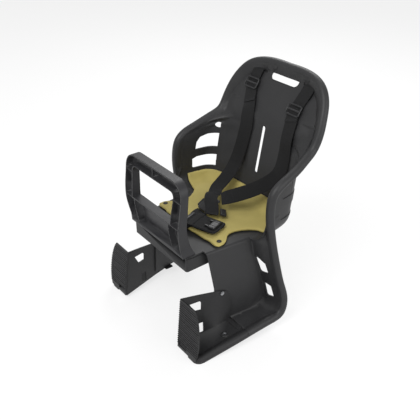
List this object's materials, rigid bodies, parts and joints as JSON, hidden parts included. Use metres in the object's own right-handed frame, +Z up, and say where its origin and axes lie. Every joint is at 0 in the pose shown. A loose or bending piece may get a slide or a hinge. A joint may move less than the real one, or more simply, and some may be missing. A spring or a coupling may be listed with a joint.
{
  "type": "child bike seat",
  "caption": "Moulded child bike seat with bucket, side wings, grip bar, footrests, thin pad and webbing harness, bolted on a rear carrier.",
  "frame": {"origin": "centre of the carrier bolt pattern on the underside of the base", "axes": "+X to the seat's left-right side (right in the front view), -Y to the front, +Z up"},
  "size_m": [0.472, 0.4898, 0.6366],
  "materials": {
    "shell": "grained black polypropylene",
    "base": "moulded black polypropylene",
    "grip": "moulded dark grey polypropylene",
    "tray": "moulded black polypropylene",
    "cushion": "olive coated foam",
    "webbing": "black woven polyester webbing",
    "buckle": "moulded black acetal",
    "screws": "zinc plated steel"
  },
  "bodies": {
    "root": {"seat_shell": "shell", "carrier_base": "base", "grip_bar": "grip", "cushion": "cushion", "crotch_strap": "webbing", "crotch_anchor": "buckle", "crotch_pad": "webbing", "crotch_adjuster": "buckle", "buckle_body": "buckle", "base_screw_1": "screws", "base_nut_1": "screws", "grip_screw_1": "screws", "base_screw_2": "screws", "base_nut_2": "screws", "grip_screw_2": "screws", "base_screw_3": "screws", "base_nut_3": "screws", "grip_screw_3": "screws", "base_screw_4": "screws", "base_nut_4": "screws", "grip_screw_4": "screws", "footrest_left": "tray", "footrest_side_bolt_left": "screws", "footrest_side_nut_left": "screws", "footrest_floor_bolt_left": "screws", "footrest_floor_nut_left": "screws", "shoulder_strap_left": "webbing", "strap_tail_left": "webbing", "strap_slider_left": "buckle", "strap_anchor_left": "buckle", "buckle_tongue_left": "buckle", "buckle_lever_left": "buckle", "footrest_right": "tray", "footrest_side_bolt_right": "screws", "footrest_side_nut_right": "screws", "footrest_floor_bolt_right": "screws", "footrest_floor_nut_right": "screws", "shoulder_strap_right": "webbing", "strap_tail_right": "webbing", "strap_slider_right": "buckle", "strap_anchor_right": "buckle", "buckle_tongue_right": "buckle", "buckle_lever_right": "buckle"}
  },
  "joints": []
}
